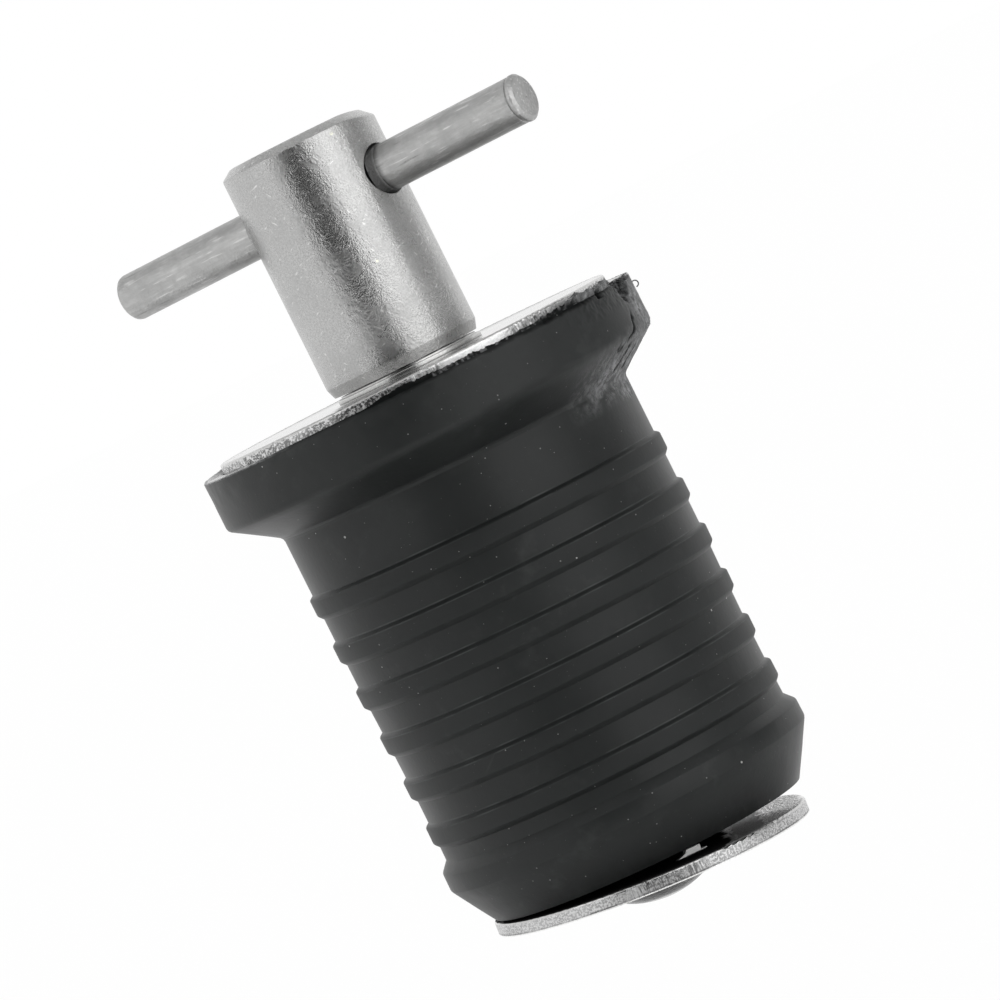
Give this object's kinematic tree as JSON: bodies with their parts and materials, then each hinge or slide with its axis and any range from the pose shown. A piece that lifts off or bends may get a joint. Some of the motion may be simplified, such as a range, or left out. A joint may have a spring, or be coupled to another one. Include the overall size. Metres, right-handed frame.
{
  "type": "expanding boat drain plug",
  "caption": "Ribbed rubber bung between two steel washers, squeezed by a cross-pin T-handle so that it swells and seals a round drain tube.",
  "frame": {"origin": "centre of the flange's seat, where the conical underside of the flange meets the body that enters the drain tube", "axes": "+Z along the plug's axis towards the handle, +X to the right and -Y to the front as the picture shows the plug stood upright"},
  "size_m": [0.0302, 0.0302, 0.054],
  "materials": {
    "rubber": "satin black, dusty",
    "washer_steel": "stamped, rough rim",
    "handle_steel": "tumbled satin",
    "stud_steel": "satin"
  },
  "bodies": {
    "bung": {"rubber_plug": "rubber", "top_washer": "washer_steel", "thrust_washer": "washer_steel"},
    "handle": {"handle_barrel": "handle_steel", "cross_pin": "handle_steel"},
    "draw_stud": {"stud": "stud_steel", "bottom_washer": "washer_steel"}
  },
  "joints": [
    {"name": "handle_turn", "type": "hinge", "parent": "bung", "child": "handle", "pos_m": [-0.00015, 0, 0.00663], "axis": [0, 0, -1], "range_deg": [0, 1080]},
    {"name": "stud_draw", "type": "slide", "parent": "bung", "child": "draw_stud", "axis": [0, 0, 1], "range_m": [0, 0.0024], "deforming": ["rubber_plug"]}
  ],
  "couplings": [
    {"joint": "stud_draw", "follows": "handle_turn", "m_per_rad": 0.0001273}
  ]
}
